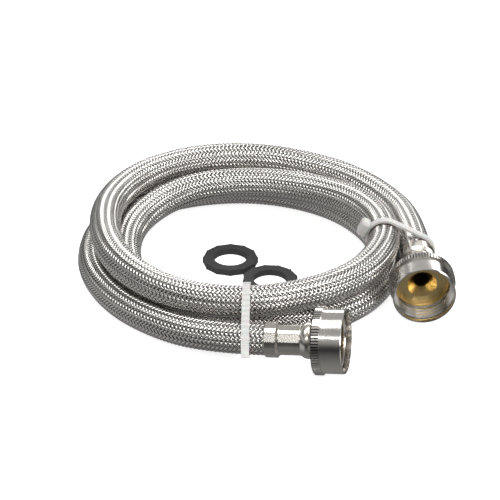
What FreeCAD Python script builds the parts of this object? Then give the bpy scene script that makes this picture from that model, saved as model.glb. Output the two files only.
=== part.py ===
import FreeCAD, Part
import math
import os

# Braided supply line, coiled and tied. All lengths are in millimetres and all angles in degrees.
# +X right, +Y back, +Z up; the origin is on the floor under the centre of the whole coil.

# ---- hose ----
HOSE_OD = 14.6            # over the wire braid
BRAID_WALL = 0.7          # two crossing layers of 0.3 wire
TUBE_OD = 13.0
TUBE_ID = 9.5
CRIMPED_BRAID_OD = 12.9   # squeezed section inside the ferrule's waist
CRIMPED_BRAID_ID = 11.9
CRIMPED_TUBE_OD = 11.8
CRIMPED_TUBE_ID = 10.1
FULL_SECTION_DEPTH = 4.6  # how far the hose enters the ferrule before it narrows
CRIMP_START_DEPTH = 6.9
HOSE_END_DEPTH = 18.5

# ---- coil: one row for each twelfth of a turn, counted from the valve end ----
COIL_CENTRE = (-6.6, 4.6)
FIRST_ANGLE = 30.0
STEP_ANGLE = 30.0
# radius to the hose's axis, then height of its underside above the floor
COIL_ROWS = (
    # first turn, from the valve coupling over the others
    (79.0, 11.5), (84.5, 10.5), (86.0, 13.0), (83.0, 15.5), (76.5, 16.0), (68.5, 15.5),
    (65.0, 15.0), (63.5, 14.5), (63.0, 15.5), (62.5, 16.0), (64.0, 16.2), (64.5, 16.8),
    # second turn, from the top down to the floor
    (62.0, 15.5), (59.5, 13.0), (62.0, 11.0), (66.0, 9.5), (64.5, 5.5), (59.5, 2.5),
    (55.5, 1.0), (54.0, 1.8), (56.5, 1.8), (61.0, 0.8), (64.0, 0.7), (65.5, 1.8),
    # third turn, along the floor to the machine coupling
    (67.5, 1.4), (72.5, 0.7), (77.0, 0.4), (80.0, 0.0), (80.5, 0.0), (75.0, 0.2),
    (71.0, 0.8), (72.0, 2.2),
)
STRAIGHT_LEAD = 18.0      # straight hose outside each ferrule
ARC_SHARE = 0.45          # share of the shorter run that each arc takes
BRAID_LENGTHS = 16        # the braid is drawn in butted lengths, so that each has a simple shape

# ---- couplings: u runs from the ferrule's rear edge towards the nut's mouth ----
COUPLING_LENGTH = 36.0
VALVE_MOUTH = (72.3, -38.1, 14.9)
VALVE_YAW = -87.0         # heading of the mouth, from +X
VALVE_TILT = -2.5
MACHINE_MOUTH = (35.8, -80.7, 16.4)
MACHINE_YAW = -11.0
MACHINE_TILT = 4.5

FERRULE_WAIST_R = 7.0
FERRULE_LIP_R = 8.2
FERRULE_LIP_END = 5.4
FERRULE_WAIST_START = 6.3
FERRULE_DOME_START = 16.3
FERRULE_DOME_MIDDLE = (19.2, 8.25)   # a place on the dome's arc, and its radius
FERRULE_END = 22.25
FERRULE_RIM = 0.5
FERRULE_NECK_GAP = 0.05
FERRULE_BORE_R = 6.5
FERRULE_BORE_START = 7.1
FERRULE_BORE_END = 19.0
FERRULE_MOUTH_R = 7.38
FERRULE_MOUTH_END = 5.6
FERRULE_MOUTH_WALL = 0.3
CRIMP_FLATS = 8
LIP_ACROSS_FLATS = 16.0
WAIST_ACROSS_FLATS = 13.6
WAIST_FLAT_MARGIN = 0.4

STEM_BORE_R = 3.65
STEM_NECK_R = 6.2
STEM_TAIL_START = 3.0
STEM_ROOT_R = 4.65
STEM_BARB_R = 5.0
STEM_BARB_FIRST = 7.2
STEM_BARB_PITCH = 2.8
STEM_BARBS = 4
STEM_BARB_RAMP = 1.8
STEM_BARB_LENGTH = 2.2
STEM_TIP_WALL = 0.4
STEM_TIP_LENGTH = 0.8
STEM_TIP_R = 4.6
STEM_SHOULDER = 19.4
STEM_FLANGE_BACK = 24.45
STEM_FLANGE_FRONT = 26.0
STEM_FLANGE_R = 11.9
STEM_FUNNEL_R = 6.65
STEM_FUNNEL_DEPTH = 4.2

NUT_BACK = 22.4
NUT_WALL_FRONT = 24.4
NUT_HOLE_R = 6.28         # running fit on the stem's neck
NUT_KNURL_END = 26.2
NUT_KNURL_R = 15.3
NUT_BARREL_R = 14.5
NUT_CHAMFER = 0.5
NUT_LIP_CHAMFER = 0.4
KNURL_TEETH = 72
KNURL_DEPTH = 0.45
KNURL_SHARE = 0.55        # share of the rim that the grooves take
KNURL_OVERCUT = 0.2
THREAD_MINOR_R = 12.45    # 3/4-11.5 hose thread
THREAD_MAJOR_R = 13.55
THREAD_PITCH = 2.209
THREAD_TURNS = 3
THREAD_CREST = 0.7
THREAD_ROOT = 0.2         # flat between two flanks
THREAD_FIRST = 27.5       # where the innermost ridge starts
NUT_MOUTH_R = 13.7

# ---- hose washers ----
WASHER_OD = 25.6
WASHER_ID = 15.8
WASHER_THICKNESS = 3.0
WASHER_SIDES = 12
WASHER_NUB_R = 0.5
WASHER_PLACES = (("washer_1", -15.8, 19.4, 0.0), ("washer_2", 2.7, -0.7, 11.0))

# ---- cable ties ----
TIE_WIDTH = 3.6
TIE_THICKNESS = 1.0
TIE_CLEARANCE = 0.5
TIE_HEAD_SIZE = (6.6, 4.6, 7.2)   # along the hose, out from the strap, along the strap
TIE_HEAD_CHAMFER = 0.9
# where each tie crosses the coil, then how far its head is turned round the strands
TIES = (("front_tie", -91.5, -20.0), ("side_tie", -2.5, -25.0))


def vector(point):
    """Vector from three numbers."""
    return FreeCAD.Vector(*point)


def heading(yaw, tilt):
    """Unit vector that points along yaw, raised by tilt."""
    flat = math.cos(math.radians(tilt))
    return FreeCAD.Vector(flat * math.cos(math.radians(yaw)),
                          flat * math.sin(math.radians(yaw)),
                          math.sin(math.radians(tilt)))


class Coupling:
    """Where one coupling lies: its axis towards the mouth, and its place along that axis."""

    def __init__(self, name, mouth, yaw, tilt):
        self.name = name
        self.axis = heading(yaw, tilt)
        self.exit = vector(mouth) - self.axis * COUPLING_LENGTH
        turn = FreeCAD.Rotation(FreeCAD.Vector(0, 0, 1), self.axis)
        self.placement = FreeCAD.Placement(self.exit, turn)

    def place(self, shape):
        """Move a shape made along +Z onto this coupling's axis."""
        placed = shape.copy()
        placed.Placement = self.placement.multiply(placed.Placement)
        return placed


def turned(steps):
    """Ring turned about Z. A step is (u, r) for a line, or (u, r, u, r) for an arc through the first pair."""
    start = FreeCAD.Vector(steps[0][1], 0, steps[0][0])
    edges = []
    here = start
    for step in list(steps[1:]) + [steps[0]]:
        there = FreeCAD.Vector(step[-1], 0, step[-2])
        if len(step) == 4:
            middle = FreeCAD.Vector(step[1], 0, step[0])
            edges.append(Part.Arc(here, middle, there).toShape())
        else:
            edges.append(Part.LineSegment(here, there).toShape())
        here = there
    face = Part.Face(Part.Wire(edges))
    return face.revolve(FreeCAD.Vector(), FreeCAD.Vector(0, 0, 1), 360)


def cut_flats(shape, start, end, across):
    """Press flats round a sleeve between two places along its axis."""
    size = 4 * FERRULE_LIP_R
    for step in range(CRIMP_FLATS):
        jaw = Part.makeBox(size, size, end - start,
                           FreeCAD.Vector(across / 2, -size / 2, start))
        jaw.rotate(FreeCAD.Vector(), FreeCAD.Vector(0, 0, 1), step * 360 / CRIMP_FLATS)
        shape = shape.cut(jaw)
    return shape


def make_ferrule():
    """Crimped sleeve over the hose's end, with pressed flats and a domed front."""
    neck = STEM_NECK_R + FERRULE_NECK_GAP
    body = turned([
        (0, FERRULE_MOUTH_R + FERRULE_MOUTH_WALL), (FERRULE_RIM, FERRULE_LIP_R), (FERRULE_LIP_END, FERRULE_LIP_R),
        (FERRULE_WAIST_START, FERRULE_WAIST_R), (FERRULE_DOME_START, FERRULE_WAIST_R),
        (*FERRULE_DOME_MIDDLE, FERRULE_END, neck + FERRULE_RIM),
        (FERRULE_END, neck), (FERRULE_BORE_END, neck), (FERRULE_BORE_END, FERRULE_BORE_R),
        (FERRULE_BORE_START, FERRULE_BORE_R), (FERRULE_MOUTH_END, FERRULE_MOUTH_R), (0, FERRULE_MOUTH_R),
    ])
    body = cut_flats(body, -1.0, FERRULE_LIP_END, LIP_ACROSS_FLATS)
    return cut_flats(body, FERRULE_WAIST_START + WAIST_FLAT_MARGIN, FERRULE_DOME_START - WAIST_FLAT_MARGIN,
                     WAIST_ACROSS_FLATS)


def make_stem():
    """Brass stem: barbed tail in the tube, neck for the nut, and a flange with a funnel for the washer."""
    outside = [(STEM_TAIL_START, STEM_BORE_R + STEM_TIP_WALL), (STEM_TAIL_START + STEM_TIP_LENGTH, STEM_TIP_R)]
    for barb in range(STEM_BARBS):
        u = STEM_BARB_FIRST + barb * STEM_BARB_PITCH
        back = u + STEM_BARB_LENGTH
        outside += [(u, STEM_ROOT_R), (u + STEM_BARB_RAMP, STEM_BARB_R), (back, STEM_BARB_R), (back, STEM_ROOT_R)]
    outside += [
        (STEM_SHOULDER, STEM_ROOT_R), (STEM_SHOULDER, STEM_NECK_R),
        (STEM_FLANGE_BACK, STEM_NECK_R), (STEM_FLANGE_BACK, STEM_FLANGE_R),
        (STEM_FLANGE_FRONT, STEM_FLANGE_R),
    ]
    inside = [
        (STEM_FLANGE_FRONT, STEM_FUNNEL_R),
        (STEM_FLANGE_FRONT - STEM_FUNNEL_DEPTH, STEM_BORE_R), (STEM_TAIL_START, STEM_BORE_R),
    ]
    return turned(outside + inside)


def make_nut():
    """Swivel nut in two butted solids, the threaded barrel and the rear wall, each of a simple shape."""
    wall = turned([
        (NUT_BACK, NUT_HOLE_R), (NUT_BACK, NUT_KNURL_R - NUT_CHAMFER),
        (NUT_BACK + NUT_CHAMFER, NUT_KNURL_R), (NUT_WALL_FRONT, NUT_KNURL_R), (NUT_WALL_FRONT, NUT_HOLE_R),
    ])
    outside = [
        (NUT_WALL_FRONT, THREAD_MAJOR_R), (NUT_WALL_FRONT, NUT_KNURL_R), (NUT_KNURL_END, NUT_KNURL_R),
        (NUT_KNURL_END, NUT_BARREL_R), (COUPLING_LENGTH - NUT_LIP_CHAMFER, NUT_BARREL_R),
        (COUPLING_LENGTH, NUT_BARREL_R - NUT_LIP_CHAMFER), (COUPLING_LENGTH, NUT_MOUTH_R),
    ]
    thread = []
    for ridge in reversed(range(THREAD_TURNS)):
        u = THREAD_FIRST + ridge * THREAD_PITCH
        flank = (THREAD_PITCH - THREAD_CREST - THREAD_ROOT) / 2
        thread += [
            (u + THREAD_CREST + flank, THREAD_MAJOR_R), (u + THREAD_CREST, THREAD_MINOR_R),
            (u, THREAD_MINOR_R), (u - flank, THREAD_MAJOR_R),
        ]
    barrel = turned(outside + thread)
    grooves = []
    for tooth in range(KNURL_TEETH):
        half = math.pi * NUT_KNURL_R / KNURL_TEETH * KNURL_SHARE
        groove = Part.Face(Part.makePolygon([
            FreeCAD.Vector(NUT_KNURL_R - KNURL_DEPTH, 0, NUT_BACK - 1),
            FreeCAD.Vector(NUT_KNURL_R + KNURL_OVERCUT, -half, NUT_BACK - 1),
            FreeCAD.Vector(NUT_KNURL_R + KNURL_OVERCUT, half, NUT_BACK - 1),
            FreeCAD.Vector(NUT_KNURL_R - KNURL_DEPTH, 0, NUT_BACK - 1),
        ])).extrude(FreeCAD.Vector(0, 0, NUT_KNURL_END - NUT_BACK + 1))
        groove.rotate(FreeCAD.Vector(), FreeCAD.Vector(0, 0, 1), tooth * 360 / KNURL_TEETH)
        grooves.append(groove)
    grooves = Part.makeCompound(grooves)
    return Part.makeCompound([solid for ring in (barrel, wall) for solid in ring.cut(grooves).Solids])


def route_points(valve, machine):
    """Points that the hose's axis turns at, from the valve ferrule to the machine ferrule."""
    points = [valve.exit, valve.exit - valve.axis * STRAIGHT_LEAD]
    for step, (radius, rise) in enumerate(COIL_ROWS):
        angle = math.radians(FIRST_ANGLE + step * STEP_ANGLE)
        points.append(FreeCAD.Vector(COIL_CENTRE[0] + radius * math.cos(angle),
                                     COIL_CENTRE[1] + radius * math.sin(angle),
                                     HOSE_OD / 2 + rise))
    points += [machine.exit - machine.axis * STRAIGHT_LEAD, machine.exit]
    return points


def route_edges(points):
    """Straight runs joined by tangent arcs; returns the edges in order and the arcs' radii."""
    edges = []
    radii = []
    here = points[0]
    for before, corner, after in zip(points, points[1:], points[2:]):
        back = before - corner
        ahead = after - corner
        reach = ARC_SHARE * min(back.Length, ahead.Length)
        turn = math.pi - back.getAngle(ahead)
        radius = reach / math.tan(turn / 2)
        back.normalize()
        ahead.normalize()
        start = corner + back * reach
        end = corner + ahead * reach
        bisector = back + ahead
        bisector.normalize()
        middle = corner + bisector * (radius / math.cos(turn / 2) - radius)
        edges.append(Part.LineSegment(here, start).toShape())
        edges.append(Part.Arc(start, middle, end).toShape())
        radii.append(radius)
        here = end
    edges.append(Part.LineSegment(here, points[-1]).toShape())
    return edges, radii


def swept_tube(edges, outer, inner):
    """Hollow round tube of two radii along a run of edges."""
    wire = Part.Wire(edges)
    first = edges[0]
    start = first.valueAt(first.FirstParameter)
    ahead = first.tangentAt(first.FirstParameter)
    outer_disc, inner_disc = [Part.Face(Part.Wire(Part.makeCircle(radius, start, ahead)))
                              for radius in (outer, inner)]
    return wire.makePipe(outer_disc).cut(wire.makePipe(inner_disc))


def hose_layer(edges, lengths, valve, machine, outer, inner, crimped_outer, crimped_inner):
    """One layer of the hose: butted lengths swept between the ferrules, and a squeezed end inside each."""
    bounds = [2 * round(step * (len(edges) // 2) / lengths) for step in range(lengths)] + [len(edges)]
    layers = [swept_tube(edges[low:high], outer, inner) for low, high in zip(bounds, bounds[1:])]
    end = turned([
        (0, outer), (FULL_SECTION_DEPTH, outer), (CRIMP_START_DEPTH, crimped_outer),
        (HOSE_END_DEPTH, crimped_outer), (HOSE_END_DEPTH, crimped_inner),
        (CRIMP_START_DEPTH, crimped_inner), (FULL_SECTION_DEPTH, inner), (0, inner),
    ])
    if lengths == 1:
        return layers[0].fuse([valve.place(end), machine.place(end)]).removeSplitter()
    layers[0] = layers[0].fuse(valve.place(end)).removeSplitter()
    layers[-1] = layers[-1].fuse(machine.place(end)).removeSplitter()
    return Part.makeCompound([solid for layer in layers for solid in layer.Solids])


def make_washer(x, y, turn):
    """Flat washer with a twelve-sided edge and a small nub at each corner."""
    corners = []
    for side in range(WASHER_SIDES + 1):
        angle = math.radians(turn + side * 360 / WASHER_SIDES)
        corners.append(FreeCAD.Vector(WASHER_OD / 2 * math.cos(angle), WASHER_OD / 2 * math.sin(angle), 0))
    plate = Part.Face(Part.makePolygon(corners)).extrude(FreeCAD.Vector(0, 0, WASHER_THICKNESS))
    nubs = [Part.makeCylinder(WASHER_NUB_R, WASHER_THICKNESS, corner * (1 - WASHER_NUB_R / WASHER_OD))
            for corner in corners[:-1]]
    ring = plate.fuse(nubs).cut(Part.makeCylinder(WASHER_ID / 2, WASHER_THICKNESS))
    ring.translate(FreeCAD.Vector(x, y, 0))
    return ring.removeSplitter()


def strand_centres(wire, angle):
    """Where the hose's axis crosses the upright plane at this angle of the coil, as (radius, height)."""
    outward = heading(angle, 0)
    across = heading(angle + 90, 0)
    centre = FreeCAD.Vector(COIL_CENTRE[0], COIL_CENTRE[1], 0)
    points = [point - centre for point in wire.discretize(Distance=0.5)]
    found = []
    for here, there in zip(points, points[1:]):
        if here.dot(across) * there.dot(across) <= 0 < here.dot(outward):
            found.append((here.dot(outward), here.z))
    return found


def make_tie(wire, angle, head_turn):
    """Closed strap drawn round the strands, with its locking head."""
    centres = strand_centres(wire, angle)
    corners = [FreeCAD.Vector(radius, height, 0) for radius, height in centres]
    loop = Part.makePolygon(corners + corners[:1])
    inner = loop.makeOffset2D(HOSE_OD / 2 + TIE_CLEARANCE)
    outer = loop.makeOffset2D(HOSE_OD / 2 + TIE_CLEARANCE + TIE_THICKNESS)
    strap = Part.Face(outer).cut(Part.Face(inner)).extrude(FreeCAD.Vector(0, 0, TIE_WIDTH))
    strap.translate(FreeCAD.Vector(0, 0, -TIE_WIDTH / 2))
    along, out, up = TIE_HEAD_SIZE
    head = Part.makeBox(out, up, along, FreeCAD.Vector(-out, -up / 2, -along / 2))
    head = head.makeChamfer(TIE_HEAD_CHAMFER, head.Edges)
    innermost = min(corners, key=lambda corner: corner.x)
    reach = HOSE_OD / 2 + TIE_CLEARANCE + TIE_THICKNESS / 2
    head.rotate(FreeCAD.Vector(), FreeCAD.Vector(0, 0, 1), head_turn)
    lean = FreeCAD.Vector(-math.cos(math.radians(head_turn)), -math.sin(math.radians(head_turn)), 0)
    head.translate(innermost + lean * reach)
    tie = strap.fuse(head).removeSplitter()
    outward = heading(angle, 0)
    up_axis = FreeCAD.Vector(0, 0, 1)
    turn = FreeCAD.Rotation(outward, up_axis, outward.cross(up_axis), "XYZ")
    tie.Placement = FreeCAD.Placement(FreeCAD.Vector(COIL_CENTRE[0], COIL_CENTRE[1], 0), turn)
    return tie


def main():
    """Build every piece in place and write its file."""
    os.makedirs("parts", exist_ok=True)
    valve = Coupling("valve", VALVE_MOUTH, VALVE_YAW, VALVE_TILT)
    machine = Coupling("machine", MACHINE_MOUTH, MACHINE_YAW, MACHINE_TILT)
    edges, radii = route_edges(route_points(valve, machine))
    wire = Part.Wire(edges)
    print("hose length %.1f mm, arc radii %s" % (wire.Length, [round(radius) for radius in radii]))

    parts = {}
    parts["inner_tube"] = hose_layer(edges, 1, valve, machine, TUBE_OD / 2, TUBE_ID / 2,
                                     CRIMPED_TUBE_OD / 2, CRIMPED_TUBE_ID / 2)
    parts["wire_braid"] = hose_layer(edges, BRAID_LENGTHS, valve, machine,
                                     HOSE_OD / 2, HOSE_OD / 2 - BRAID_WALL,
                                     CRIMPED_BRAID_OD / 2, CRIMPED_BRAID_ID / 2)
    pieces = {"ferrule": make_ferrule(), "stem": make_stem(), "nut": make_nut()}
    for coupling in (valve, machine):
        for piece, shape in pieces.items():
            parts["%s_%s" % (coupling.name, piece)] = coupling.place(shape)
    for name, x, y, turn in WASHER_PLACES:
        parts[name] = make_washer(x, y, turn)
    for name, angle, head_turn in TIES:
        parts[name] = make_tie(wire, angle, head_turn)

    section = math.pi * (HOSE_OD * BRAID_WALL - BRAID_WALL ** 2)
    swept = swept_tube(edges, HOSE_OD / 2, HOSE_OD / 2 - BRAID_WALL)
    print("braid volume %.0f against section times length %.0f" % (swept.Volume, section * wire.Length))
    box = FreeCAD.BoundBox()
    for name, shape in parts.items():
        shape.exportStep("parts/%s.step" % name)
        box.add(shape.optimalBoundingBox(True, False))
        print("%-16s solids %d valid %s volume %.0f" %
              (name, len(shape.Solids), shape.isValid(), shape.Volume))
    print("box", box)
    for coupling in (valve, machine):
        mouth = coupling.exit + coupling.axis * COUPLING_LENGTH
        print(coupling.name, "exit", coupling.exit, "mouth", mouth, "axis", coupling.axis)


main()
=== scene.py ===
"""Looks of a coiled, tied, wire-braided supply line. Metres, +X right, +Y back, +Z up."""

import logging
import math
from dataclasses import dataclass, field
from enum import Enum

import bmesh
import bpy
import numpy as np
from mathutils import Matrix, Vector


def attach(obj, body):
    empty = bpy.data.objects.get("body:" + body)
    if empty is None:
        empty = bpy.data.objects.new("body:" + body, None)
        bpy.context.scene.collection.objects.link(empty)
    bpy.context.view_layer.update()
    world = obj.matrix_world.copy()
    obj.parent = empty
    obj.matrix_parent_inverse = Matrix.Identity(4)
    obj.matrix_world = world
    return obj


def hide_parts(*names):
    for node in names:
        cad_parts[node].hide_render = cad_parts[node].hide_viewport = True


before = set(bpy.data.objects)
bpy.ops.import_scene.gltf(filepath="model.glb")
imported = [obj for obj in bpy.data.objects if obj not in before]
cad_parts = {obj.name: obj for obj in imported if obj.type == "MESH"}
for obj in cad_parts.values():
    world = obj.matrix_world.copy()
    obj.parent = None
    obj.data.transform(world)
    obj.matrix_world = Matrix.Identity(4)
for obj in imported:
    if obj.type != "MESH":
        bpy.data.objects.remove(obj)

log = logging.getLogger("supply_line")

MM = 0.001
LINE_BODY = "line"

Colour = tuple[float, float, float]


# ---------------------------------------------------------------- shader maths

class Signal:
    """One output socket of a node, usable in a sum or a product."""

    def __init__(self, nodes: "NodeTree", socket: bpy.types.NodeSocket) -> None:
        """Keep the socket and the tree it belongs to."""
        self.nodes = nodes
        self.socket = socket

    def _math(self, operation: str, *values: "Signal | float", clamp: bool = False) -> "Signal":
        """Add a Math node.

        Args:
            operation: The Math node's operation.
            values: What its sockets take, in order.
            clamp: Whether the result is held between 0 and 1.

        Returns:
            The node's result.
        """
        sockets = dict(enumerate(values))
        return self.nodes.node("ShaderNodeMath", {"operation": operation, "use_clamp": clamp}, sockets)

    def __add__(self, other: "Signal | float") -> "Signal":
        """Return the sum."""
        return self._math("ADD", self, other)

    def __radd__(self, other: float) -> "Signal":
        """Return the sum with a number on the left."""
        return self._math("ADD", other, self)

    def __sub__(self, other: "Signal | float") -> "Signal":
        """Return the difference."""
        return self._math("SUBTRACT", self, other)

    def __rsub__(self, other: float) -> "Signal":
        """Return a number less this value."""
        return self._math("SUBTRACT", other, self)

    def __mul__(self, other: "Signal | float") -> "Signal":
        """Return the product."""
        return self._math("MULTIPLY", self, other)

    def __rmul__(self, other: float) -> "Signal":
        """Return the product with a number on the left."""
        return self._math("MULTIPLY", other, self)

    def __pow__(self, power: float) -> "Signal":
        """Return this value to a power."""
        return self._math("POWER", self, power)

    def __abs__(self) -> "Signal":
        """Return the size without its sign."""
        return self._math("ABSOLUTE", self)

    def sine(self) -> "Signal":
        """Return the sine of this value, in radians."""
        return self._math("SINE", self)

    def held(self) -> "Signal":
        """Return this value held between 0 and 1."""
        return self._math("ADD", self, 0.0, clamp=True)


class NodeTree:
    """A tree that nodes are added to."""

    def __init__(self, tree: bpy.types.NodeTree) -> None:
        """Keep the tree."""
        self.tree = tree

    def node(self, kind: str, settings: dict | None = None, inputs: dict | None = None,
             output: str | int = 0) -> Signal:
        """Add one node.

        Args:
            kind: The node's type.
            settings: Its properties, set first; "stops" holds a ramp's stops.
            inputs: Values or signals by socket name or number.
            output: The socket that is returned.

        Returns:
            The chosen output.
        """
        made = self.tree.nodes.new(kind)
        for name, value in (settings or {}).items():
            if name == "stops":
                self._set_stops(made, value)
            else:
                setattr(made, name, value)
        for key, value in (inputs or {}).items():
            self.feed(made.inputs[key], value)
        return Signal(self, made.outputs[output])

    @staticmethod
    def _set_stops(ramp: bpy.types.Node, stops: list[tuple[float, Colour]]) -> None:
        """Give a colour ramp its stops.

        Args:
            ramp: The Color Ramp node.
            stops: Place and colour of each stop, in rising order.
        """
        elements = ramp.color_ramp.elements
        while len(elements) > 1:
            elements.remove(elements[-1])
        elements[0].position = stops[0][0]
        elements[0].color = (*stops[0][1], 1.0)
        for place, colour in stops[1:]:
            elements.new(place).color = (*colour, 1.0)

    def feed(self, socket: bpy.types.NodeSocket, value: "Signal | float | tuple") -> None:
        """Link a signal to a socket, or set its value."""
        if isinstance(value, Signal):
            self.tree.links.new(value.socket, socket)
        else:
            socket.default_value = value


class Shader(NodeTree):
    """Node tree of one material."""

    def __init__(self, name: str) -> None:
        """Start an empty tree with an output and a principled surface.

        Args:
            name: The material's name.
        """
        self.material = bpy.data.materials.new(name)
        self.material.use_nodes = True
        super().__init__(self.material.node_tree)
        self.tree.nodes.clear()
        output = self.tree.nodes.new("ShaderNodeOutputMaterial")
        self.surface = self.tree.nodes.new("ShaderNodeBsdfPrincipled")
        self.tree.links.new(self.surface.outputs[0], output.inputs["Surface"])

    def set(self, **values: "Signal | float | tuple") -> None:
        """Set or link the surface's own sockets; an underscore stands for a space."""
        for name, value in values.items():
            self.feed(self.surface.inputs[name.replace("_", " ")], value)

    def object_place(self, place: Matrix | None = None) -> Signal:
        """Give object coordinates, in a piece's own axes if it has them.

        Args:
            place: The piece's axes in the frame, which the pattern is centred on and turned to.

        Returns:
            A vector signal, in metres.
        """
        raw = self.node("ShaderNodeTexCoord", output="Object")
        if place is None:
            return raw
        turn = place.to_euler("XYZ")
        return self.node("ShaderNodeMapping", {"vector_type": "TEXTURE"},
                         {"Vector": raw, "Location": place.translation, "Rotation": turn})

    def from_axis(self, local: Signal) -> Signal:
        """Return the distance of a place from its own Z axis."""
        flat = self.node("ShaderNodeVectorMath", {"operation": "MULTIPLY"}, {0: local, 1: (1.0, 1.0, 0.0)})
        return self.node("ShaderNodeVectorMath", {"operation": "LENGTH"}, {0: flat}, "Value")

    def noise(self, vector: Signal, scale: float, detail: float = 3.0, rough: float = 0.5) -> Signal:
        """Add a noise texture.

        Args:
            vector: Where it is read.
            scale: Cells per metre.
            detail: Octaves.
            rough: How strong the fine octaves are.

        Returns:
            The noise, from 0 to 1.
        """
        return self.node("ShaderNodeTexNoise", None,
                         {"Vector": vector, "Scale": scale, "Detail": detail, "Roughness": rough}, "Fac")

    def blend(self, mask: Signal, low: "Signal | Colour", high: "Signal | Colour") -> Signal:
        """Mix two colours.

        Args:
            mask: 0 for the first, 1 for the second.
            low: First colour.
            high: Second colour.

        Returns:
            The mixed colour.
        """
        pair = [value if isinstance(value, Signal) else (*value, 1.0) for value in (low, high)]
        return self.node("ShaderNodeMix", {"data_type": "RGBA"}, {0: mask, 6: pair[0], 7: pair[1]}, 2)

    def bump(self, height: Signal, depth: float, strength: float = 1.0) -> Signal:
        """Turn a height into a normal.

        Args:
            height: Height from 0 to 1.
            depth: What 1 stands for, in metres.
            strength: Share of the effect that is kept.

        Returns:
            The normal.
        """
        return self.node("ShaderNodeBump", None, {"Height": height, "Distance": depth, "Strength": strength})


# ---------------------------------------------------------------- finishes

@dataclass(frozen=True)
class BraidWire:
    """Bright stainless wires, laid side by side in each plait."""

    colour: Colour = (0.80, 0.78, 0.755)
    shade: Colour = (0.66, 0.64, 0.61)
    # near-black painted at each plait's edges as shade between neighbouring plaits
    painted_gap_shade: Colour = (0.08, 0.072, 0.066)
    roughness: float = 0.14
    wires: int = 5
    wear_scale: float = 260.0
    gap_shade_power: float = 4.0

    def material(self) -> bpy.types.Material:
        """Build the finish on the plait's own map."""
        shader = Shader("braid_wire")
        across = shader.node("ShaderNodeSeparateXYZ", None,
                             {0: shader.node("ShaderNodeUVMap", {"uv_map": "plait"})}, "X")
        wire = abs((across * (math.pi * self.wires)).sine())
        place = shader.object_place()
        wear = shader.noise(place, self.wear_scale)
        # painted shade: the plait's colour darkens towards both edges, where it meets its neighbours
        gap_shade_mask = abs(2.0 * across - 1.0) ** self.gap_shade_power
        plain = shader.blend(wear, self.shade, self.colour)
        shader.set(Base_Color=shader.blend(gap_shade_mask, plain, self.painted_gap_shade), Metallic=1.0,
                   Roughness=self.roughness + 0.08 * wear,
                   Normal=shader.bump(wire, 0.05 * MM, 0.12))
        return shader.material


@dataclass(frozen=True)
class DarkLining:
    """Dark tube seen between the plaits."""

    colour: Colour = (0.012, 0.012, 0.012)

    def material(self) -> bpy.types.Material:
        """Build the finish."""
        shader = Shader("dark_lining")
        grain = shader.noise(shader.object_place(), 900.0)
        shader.set(Base_Color=(*self.colour, 1.0), Metallic=0.0, Roughness=0.6 + 0.2 * grain)
        return shader.material


@dataclass(frozen=True)
class NickelPlate:
    """Bright nickel over turned brass."""

    colour: Colour = (0.76, 0.73, 0.69)
    shade: Colour = (0.68, 0.65, 0.61)
    # near-black painted into the knurl's grooves as shade
    painted_groove_shade: Colour = (0.020, 0.019, 0.017)
    roughness: float = 0.13
    knurl_radius: float = 15.3 * MM
    knurl_depth: float = 0.45 * MM
    knurl_end: float = 26.2 * MM
    cloud_scale: float = 140.0
    line_scale: float = 9000.0

    def material(self, place: Matrix, name: str) -> bpy.types.Material:
        """Build the finish in a coupling's own axes.

        Args:
            place: The coupling's axes.
            name: The material's name.

        Returns:
            The material.
        """
        shader = Shader(name)
        local = shader.object_place(place)
        along = shader.node("ShaderNodeSeparateXYZ", None, {0: local}, "Z")
        cloud = shader.noise(local, self.cloud_scale)
        lines = shader.node("ShaderNodeTexNoise", {"noise_dimensions": "1D"},
                            {"W": along, "Scale": self.line_scale, "Detail": 2.0}, "Fac")
        radius = shader.from_axis(local)
        depth = (self.knurl_radius - radius) * (1.0 / self.knurl_depth)
        on_knurl = ((self.knurl_end - along) * (1.0 / (0.2 * MM))).held()
        near_rim = ((2.0 - depth) * 4.0).held()
        # painted shade: the knurl is coloured near black where its surface dips below the ring's outer radius
        painted_groove_shade = (depth * 3.0).held() * on_knurl * near_rim
        plain = shader.blend(cloud, self.shade, self.colour)
        shader.set(Base_Color=shader.blend(painted_groove_shade, plain, self.painted_groove_shade), Metallic=1.0,
                   Roughness=self.roughness + 0.08 * cloud + 0.25 * painted_groove_shade,
                   Normal=shader.bump(lines, 0.01 * MM, 0.35))
        return shader.material


@dataclass(frozen=True)
class SatinSteel:
    """Drawn stainless sleeve with a warm cast."""

    colour: Colour = (0.72, 0.69, 0.64)
    shade: Colour = (0.62, 0.59, 0.54)
    roughness: float = 0.20
    cloud_scale: float = 180.0
    grain_scale: float = 1400.0

    def material(self, place: Matrix, name: str) -> bpy.types.Material:
        """Build the finish in a coupling's own axes."""
        shader = Shader(name)
        local = shader.object_place(place)
        cloud = shader.noise(local, self.cloud_scale)
        shader.set(Base_Color=shader.blend(cloud, self.shade, self.colour), Metallic=1.0,
                   Roughness=self.roughness + 0.10 * cloud,
                   Normal=shader.bump(shader.noise(local, self.grain_scale), 0.01 * MM, 0.03))
        return shader.material


@dataclass(frozen=True)
class TurnedBrass:
    """Turned brass with fine rings from the lathe."""

    colour: Colour = (0.93, 0.74, 0.38)
    shade: Colour = (0.86, 0.64, 0.27)
    roughness: float = 0.18
    ring_pitch: float = 0.35 * MM
    cloud_scale: float = 320.0

    def material(self, place: Matrix, name: str) -> bpy.types.Material:
        """Build the finish in a coupling's own axes."""
        shader = Shader(name)
        local = shader.object_place(place)
        radius = shader.from_axis(local)
        rings = (radius * (2 * math.pi / self.ring_pitch)).sine()
        cloud = shader.noise(local, self.cloud_scale)
        shader.set(Base_Color=shader.blend(cloud, self.shade, self.colour), Metallic=1.0,
                   Roughness=self.roughness + 0.12 * cloud,
                   Normal=shader.bump(rings, 0.008 * MM, 0.4))
        return shader.material


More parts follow.
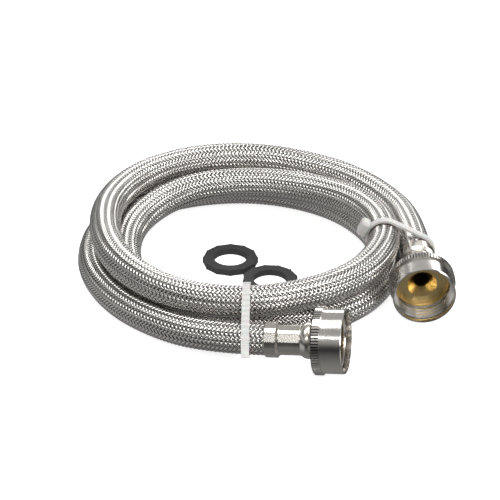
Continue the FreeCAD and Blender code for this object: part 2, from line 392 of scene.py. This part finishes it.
@dataclass(frozen=True)
class WasherRubber:
    """Matt charcoal rubber with a fine speckle."""

    colour: Colour = (0.018, 0.018, 0.019)
    pale: Colour = (0.045, 0.045, 0.046)

    def material(self) -> bpy.types.Material:
        """Build the finish."""
        shader = Shader("washer_rubber")
        place = shader.object_place()
        speckle = shader.noise(place, 1600.0, 2.0)
        shader.set(Base_Color=shader.blend(speckle, self.colour, self.pale), Metallic=0.0,
                   Roughness=0.55 + 0.2 * speckle, Normal=shader.bump(speckle, 0.05 * MM, 0.4))
        return shader.material


@dataclass(frozen=True)
class TieNylon:
    """Natural nylon, milky and slightly see-through, with fine teeth across the strap."""

    colour: Colour = (0.73, 0.725, 0.70)
    # darker colour painted into the valleys between teeth as shade
    painted_valley_shade: Colour = (0.63, 0.625, 0.605)
    tooth: float = 0.8 * MM

    def material(self, name: str, run: Colour) -> bpy.types.Material:
        """Build the finish.

        Args:
            name: The material's name.
            run: Weights of X, Y and Z in the length along the strap.

        Returns:
            The material.
        """
        shader = Shader(name)
        place = shader.object_place()
        cloud = shader.noise(place, 300.0)
        along = shader.node("ShaderNodeVectorMath", {"operation": "DOT_PRODUCT"}, {0: place, 1: run}, "Value")
        teeth = 0.5 + 0.5 * (along * (2 * math.pi / self.tooth)).sine()
        # painted shade: the strap's colour darkens in the valleys between its teeth
        shader.set(Base_Color=shader.blend(teeth, self.painted_valley_shade, self.colour), Metallic=0.0,
                   Roughness=0.30 + 0.12 * cloud, Normal=shader.bump(teeth, 0.15 * MM, 0.5))
        shader.set(Subsurface_Weight=0.2, Subsurface_Scale=2 * MM, Transmission_Weight=0.05)
        return shader.material


# ---------------------------------------------------------------- shared geometry

def heading(yaw: float, tilt: float) -> Vector:
    """Return the unit vector along a yaw, raised by a tilt, both in degrees."""
    flat = math.cos(math.radians(tilt))
    return Vector((flat * math.cos(math.radians(yaw)), flat * math.sin(math.radians(yaw)),
                   math.sin(math.radians(tilt))))


def show(name: str, data: bpy.types.ID, body: str = LINE_BODY) -> bpy.types.Object:
    """Make an object that rides on a body.

    Args:
        name: The piece's name.
        data: Its mesh or curve, already in place.
        body: The body it moves with.

    Returns:
        The new object.
    """
    piece = bpy.data.objects.new(name, data)
    bpy.context.scene.collection.objects.link(piece)
    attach(piece, body)
    log.info("%s: %s on %s", name, data.name, body)
    return piece


def dress(piece: bpy.types.Object, material: bpy.types.Material) -> None:
    """Give a piece one material."""
    piece.data.materials.clear()
    piece.data.materials.append(material)


class End(Enum):
    """Which end of the line a coupling is on."""

    VALVE = "valve"
    MACHINE = "machine"


@dataclass
class Coupling:
    """Ferrule, stem and swivel nut at one end; u runs from the ferrule's rear towards the mouth."""

    end: End
    mouth: Vector
    yaw: float
    tilt: float
    length: float = 36.0 * MM

    @property
    def axis(self) -> Vector:
        """Unit vector towards the nut's mouth."""
        return heading(self.yaw, self.tilt)

    @property
    def exit(self) -> Vector:
        """Middle of the ferrule's rear edge, where the hose comes out."""
        return self.mouth - self.axis * self.length

    @property
    def place(self) -> Matrix:
        """The coupling's axes, with Z towards the mouth."""
        turn = Vector((0.0, 0.0, 1.0)).rotation_difference(self.axis).to_matrix().to_4x4()
        return Matrix.Translation(self.exit) @ turn

    def node(self, piece: str) -> bpy.types.Object:
        """Return the frame's object for one piece of this coupling."""
        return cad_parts["%s_%s" % (self.end.value, piece)]

    def dress(self) -> None:
        """Give the three pieces their finishes."""
        name = self.end.value
        dress(self.node("nut"), NickelPlate().material(self.place, name + "_nut_nickel"))
        dress(self.node("ferrule"), SatinSteel().material(self.place, name + "_ferrule_steel"))
        dress(self.node("stem"), TurnedBrass().material(self.place, name + "_stem_brass"))


@dataclass
class Hose:
    """Coiled hose: a dark tube under two crossing families of wire plaits."""

    valve: Coupling
    machine: Coupling
    diameter: float = 14.6 * MM
    length: float = 1.167
    lining_radius: float = 6.40 * MM
    lead: float = 18.0 * MM
    coil_centre: tuple[float, float] = (-6.6, 4.6)
    # radius of the hose's axis and height of its underside, in millimetres, every 30 degrees
    coil_rows: tuple[tuple[float, float], ...] = (
        (79.0, 11.5), (84.5, 10.5), (86.0, 13.0), (83.0, 15.5), (76.5, 16.0), (68.5, 15.5),
        (65.0, 15.0), (63.5, 14.5), (63.0, 15.5), (62.5, 16.0), (64.0, 16.2), (64.5, 16.8),
        (62.0, 15.5), (59.5, 13.0), (62.0, 11.0), (66.0, 9.5), (64.5, 5.5), (59.5, 2.5),
        (55.5, 1.0), (54.0, 1.8), (56.5, 1.8), (61.0, 0.8), (64.0, 0.7), (65.5, 1.8),
        (67.5, 1.4), (72.5, 0.7), (77.0, 0.4), (80.0, 0.0), (80.5, 0.0), (75.0, 0.2),
        (71.0, 0.8), (72.0, 2.2),
    )
    plaits: int = 20
    groups: int = 8
    plait_width: float = 1.22 * MM
    pitch: float = 39.0 * MM
    middle_radius: float = 6.93 * MM
    wave: float = 0.25 * MM
    flatness: float = 1.8
    crown: float = 0.34 * MM
    crown_sink: float = 0.64
    rows_per_plait: int = 5
    tuck: float = 3.0 * MM
    pieces: list[bpy.types.Object] = field(default_factory=list)

    def route(self) -> list[Vector]:
        """Return the points that the hose's line is drawn to, from the valve end."""
        points = [self.valve.exit, self.valve.exit - self.valve.axis * self.lead]
        for step, (radius, rise) in enumerate(self.coil_rows):
            angle = math.radians(30.0 + 30.0 * step)
            points.append(Vector(((self.coil_centre[0] + radius * math.cos(angle)) * MM,
                                  (self.coil_centre[1] + radius * math.sin(angle)) * MM,
                                  self.diameter / 2 + rise * MM)))
        points += [self.machine.exit - self.machine.axis * self.lead, self.machine.exit]
        return points

    def curve(self, name: str, bevel: float) -> bpy.types.Curve:
        """Draw the route as one smooth spline.

        Args:
            name: The curve's name.
            bevel: Radius of the round section, or 0 for a bare line.

        Returns:
            The curve.
        """
        curve = bpy.data.curves.new(name, "CURVE")
        curve.dimensions = "3D"
        curve.resolution_u = 16
        curve.bevel_depth = 1.0 if bevel else 0.0
        curve.bevel_resolution = 6
        curve.use_fill_caps = bevel > 0
        spline = curve.splines.new("NURBS")
        route = self.route()
        spline.points.add(len(route) - 1)
        for point, place in zip(spline.points, route):
            point.co = (*place, 1.0)
            point.radius = bevel
        spline.order_u = 3
        spline.use_endpoint_u = True
        return curve

    def line(self) -> np.ndarray:
        """Return points along the spline, close together, as Blender evaluates it."""
        bare = bpy.data.objects.new("bare_line", self.curve("bare_line", 0.0))
        bpy.context.scene.collection.objects.link(bare)
        bpy.context.view_layer.update()
        mesh = bpy.data.meshes.new_from_object(bare.evaluated_get(bpy.context.evaluated_depsgraph_get()))
        points = np.zeros(len(mesh.vertices) * 3)
        mesh.vertices.foreach_get("co", points)
        bpy.data.objects.remove(bare)
        bpy.data.meshes.remove(mesh)
        return points.reshape(-1, 3)

    def build(self) -> None:
        lining = show("hose_lining", self.curve("hose_lining", self.lining_radius))
        lining.data.materials.append(DarkLining().material())
        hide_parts("wire_braid", "inner_tube")
        self.pieces = self.build_plaits()
        self.machine.node("ferrule")
        self.machine.node("stem")

    def build_plaits(self) -> list[bpy.types.Object]:
        """Weave both families of plaits round the line, a few plaits to each piece.

        Returns:
            The pieces.
        """
        path = Sleeve(self.line(), self.tuck)
        material = BraidWire().material()
        share = 2 * self.plaits // self.groups
        order = [(hand, number) for hand in (1, -1) for number in range(self.plaits)]
        pieces = []
        for group in range(self.groups):
            mesh = bpy.data.meshes.new("braid_%d" % (group + 1))
            self.weave(mesh, path, order[group * share:(group + 1) * share])
            piece = show(mesh.name, mesh)
            dress(piece, material)
            pieces.append(piece)
        return pieces

    def weave(self, mesh: bpy.types.Mesh, path: "Sleeve", members: list[tuple[int, int]]) -> None:
        """Lay strips of plait round the path.

        Args:
            mesh: The mesh that receives them.
            path: The line and its turning axes.
            members: Hand (1 or -1) and number of each plait.
        """
        rows = int(path.length * self.plaits * self.rows_per_plait / self.pitch)
        bm = bmesh.new()
        bm.loops.layers.uv.new("plait")
        for _ in members:
            bmesh.ops.create_grid(bm, x_segments=4, y_segments=rows, size=0.5, calc_uvs=True)
        for face in bm.faces:
            face.smooth = True
        bm.to_mesh(mesh)
        bm.free()
        flat = np.zeros(len(mesh.vertices) * 3)
        mesh.vertices.foreach_get("co", flat)
        flat = flat.reshape(len(members), -1, 3)
        hand = np.array([m[0] for m in members], float)[:, None]
        number = np.array([m[1] for m in members], float)[:, None]
        across = flat[:, :, 0]
        along = (flat[:, :, 1] + 0.5) * path.length
        lay = math.atan(2 * math.pi * self.middle_radius / self.pitch)
        centre_angle = hand * 2 * math.pi * along / self.pitch + 2 * math.pi * number / self.plaits
        over = hand * np.tanh(self.flatness * np.cos(centre_angle * self.plaits / 2 - math.pi / 4))
        side = across * self.plait_width
        crown = self.crown * (1 - (np.abs(across) / 0.5) ** 2 - self.crown_sink)
        radius = self.middle_radius + self.wave * over + crown
        angle = centre_angle + hand * side * math.cos(lay) / self.middle_radius
        place = path.wrap(along - side * math.sin(lay), angle, radius)
        mesh.vertices.foreach_set("co", place.reshape(-1))
        mesh.update()


class Sleeve:
    """A line with axes that turn along it without twist, for wrapping things round it."""

    def __init__(self, points: np.ndarray, tuck: float, step: float = 0.5 * MM) -> None:
        """Space the line evenly and carry axes along it.

        Args:
            points: The line's points.
            tuck: How far the line goes on straight past each end, into the ferrules.
            step: Spacing of the carried axes.
        """
        first = points[0] - (points[1] - points[0]) / np.linalg.norm(points[1] - points[0]) * tuck
        last = points[-1] + (points[-1] - points[-2]) / np.linalg.norm(points[-1] - points[-2]) * tuck
        points = np.vstack([first, points, last])
        reach = np.concatenate([[0.0], np.cumsum(np.linalg.norm(np.diff(points, axis=0), axis=1))])
        self.length = float(reach[-1])
        self.stations = np.linspace(0.0, self.length, int(self.length / step) + 1)
        self.centres = np.stack([np.interp(self.stations, reach, points[:, k]) for k in range(3)], axis=1)
        ahead = np.gradient(self.centres, axis=0)
        self.ahead = ahead / np.linalg.norm(ahead, axis=1)[:, None]
        self.side, self.up = self._carry()

    def _carry(self) -> tuple[np.ndarray, np.ndarray]:
        """Return the two cross axes at each station."""
        side = np.zeros_like(self.centres)
        start = Vector(self.ahead[0])
        here = start.orthogonal().normalized()
        before = start
        side[0] = here
        for k in range(1, len(self.centres)):
            now = Vector(self.ahead[k])
            here = before.rotation_difference(now) @ here
            here = (here - now * here.dot(now)).normalized()
            side[k] = here
            before = now
        return side, np.cross(self.ahead, side)

    def wrap(self, along: np.ndarray, angle: np.ndarray, radius: np.ndarray) -> np.ndarray:
        """Place points given by length, angle and radius.

        Args:
            along: Length from the start.
            angle: Angle round the line.
            radius: Distance from it.

        Returns:
            Their places, with x, y and z last.
        """
        def read(values: np.ndarray) -> np.ndarray:
            """Read carried vectors at each length."""
            return np.stack([np.interp(along, self.stations, values[:, k]) for k in range(3)], axis=-1)
        outward = np.cos(angle)[..., None] * read(self.side) + np.sin(angle)[..., None] * read(self.up)
        return read(self.centres) + outward * np.asarray(radius)[..., None]


@dataclass
class Trim:
    """Loose washers and cable ties."""

    washers: tuple[str, ...] = ("washer_1", "washer_2")
    # each tie with the weights of X, Y and Z in the length along its strap
    ties: tuple[tuple[str, Colour], ...] = (("front_tie", (0.0, -1.0, 1.0)), ("side_tie", (1.0, 0.0, 1.0)))

    def dress(self) -> None:
        """Give washers and ties their finishes."""
        rubber = WasherRubber().material()
        for name in self.washers:
            dress(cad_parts[name], rubber)
        for name, run in self.ties:
            dress(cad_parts[name], TieNylon().material(name + "_nylon", run))


@dataclass(frozen=True)
class Lamp:
    """Oblong soft light that faces the coil; its size's first side lies along X, and its power is in watts."""

    name: str
    place: tuple[float, float, float]
    size: tuple[float, float]
    power: float

    def hang(self) -> None:
        """Hang the light."""
        data = bpy.data.lights.new(self.name, "AREA")
        data.shape = "RECTANGLE"
        data.size, data.size_y = self.size
        data.energy = self.power
        lamp = bpy.data.objects.new(self.name, data)
        lamp.location = self.place
        lamp.rotation_euler = Vector(self.place).to_track_quat("Z", "Y").to_euler()
        bpy.context.scene.collection.objects.link(lamp)


@dataclass
class Studio:
    """Pale floor, soft lights and the camera."""

    target: Vector = field(default_factory=lambda: Vector((-6.6 * MM, 31.6 * MM, 0.0)))
    distance: float = 1.5
    elevation: float = 29.1
    lens: float = 228.0
    sensor: float = 36.0
    floor_reach: float = 3.0
    floor_glow: float = 0.80
    # height in the room, from straight down to straight up, then how pale it is
    room: tuple[tuple[float, float], ...] = (
        (0.0, 0.26), (0.30, 0.12), (0.46, 0.03), (0.56, 0.06), (0.70, 0.34), (0.85, 0.46), (1.0, 0.32))
    sides: tuple[tuple[float, float], ...] = (
        (0.0, 0.18), (0.18, 0.30), (0.30, 0.62), (0.40, 0.50), (0.46, 0.06), (0.56, 0.05), (0.62, 0.55),
        (0.72, 0.50), (0.79, 0.10), (0.86, 0.12), (0.93, 0.40), (1.0, 0.30))

    # how far to the side the dim front and back of the room give way to its pale sides
    side_edge: tuple[float, float] = (0.42, 0.62)

    lamps: tuple[Lamp, ...] = (
        Lamp("overhead", (-0.05, 0.10, 1.10), (1.3, 0.36), 7.4),
        Lamp("front", (0.10, -0.95, 0.85), (1.1, 0.14), 3.2),
        Lamp("back", (0.10, 1.15, 0.45), (1.2, 0.34), 4.0),
        Lamp("low", (0.45, -1.30, 0.28), (0.16, 0.40), 0.9),
        Lamp("right", (1.05, -0.55, 0.40), (0.30, 0.60), 4.5))

    def build(self) -> None:
        """Set up the stage."""
        self.floor()
        self.sky()
        for lamp in self.lamps:
            lamp.hang()
        self.camera()
        bpy.context.scene.view_settings.view_transform = "Standard"

    def floor(self) -> None:
        """Lay a pale plane under the line."""
        bm = bmesh.new()
        bmesh.ops.create_grid(bm, x_segments=1, y_segments=1, size=self.floor_reach)
        mesh = bpy.data.meshes.new("floor")
        bm.to_mesh(mesh)
        bm.free()
        floor = bpy.data.objects.new("floor", mesh)
        bpy.context.scene.collection.objects.link(floor)
        shader = Shader("pale_floor")
        shader.set(Base_Color=(0.93, 0.93, 0.93, 1.0), Roughness=0.85, Specular_IOR_Level=0.1)
        shader.set(Emission_Color=(1.0, 1.0, 1.0, 1.0), Emission_Strength=self.floor_glow)
        dress(floor, shader.material)
        floor.visible_glossy = False

    def sky(self) -> None:
        """Fill the room: dim in front and behind, with pale panels at its sides."""
        world = bpy.data.worlds.new("room")
        world.use_nodes = True
        nodes = NodeTree(world.node_tree)
        direction = nodes.node("ShaderNodeTexCoord", output="Generated")
        height = 0.5 + 0.5 * nodes.node("ShaderNodeSeparateXYZ", None, {0: direction}, "Z")
        sideways = abs(nodes.node("ShaderNodeSeparateXYZ", None, {0: direction}, "X"))
        start, full = self.side_edge
        share = nodes.node("ShaderNodeMapRange", None,
                           {"Value": sideways, "From Min": start, "From Max": full})
        ramps = [nodes.node("ShaderNodeValToRGB", {"stops": [(place, (grey,) * 3) for place, grey in stops]},
                            {"Fac": height}) for stops in (self.room, self.sides)]
        mixed = nodes.node("ShaderNodeMix", {"data_type": "RGBA"}, {0: share, 6: ramps[0], 7: ramps[1]}, 2)
        nodes.feed(nodes.tree.nodes["Background"].inputs["Color"], mixed)
        bpy.context.scene.world = world

    def camera(self) -> None:
        """Stand the camera in front and above."""
        data = bpy.data.cameras.new("camera")
        data.lens = self.lens
        data.sensor_width = self.sensor
        data.clip_end = 20.0
        camera = bpy.data.objects.new("camera", data)
        lift = math.radians(self.elevation)
        camera.location = self.target + Vector((0.0, -math.cos(lift), math.sin(lift))) * self.distance
        camera.rotation_euler = (math.pi / 2 - lift, 0.0, 0.0)
        bpy.context.scene.collection.objects.link(camera)
        bpy.context.scene.camera = camera


def main() -> None:
    """Build every sub-assembly in order."""
    logging.basicConfig(level=logging.INFO, format="%(message)s")
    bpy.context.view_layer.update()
    valve = Coupling(End.VALVE, Vector((72.3, -38.1, 14.9)) * MM, -87.0, -2.5)
    machine = Coupling(End.MACHINE, Vector((35.8, -80.7, 16.4)) * MM, -11.0, 4.5)
    Studio().build()
    Hose(valve, machine).build()
    valve.dress()
    machine.dress()
    Trim().dress()
    bpy.context.view_layer.update()


if __name__ == "__main__":
    main()
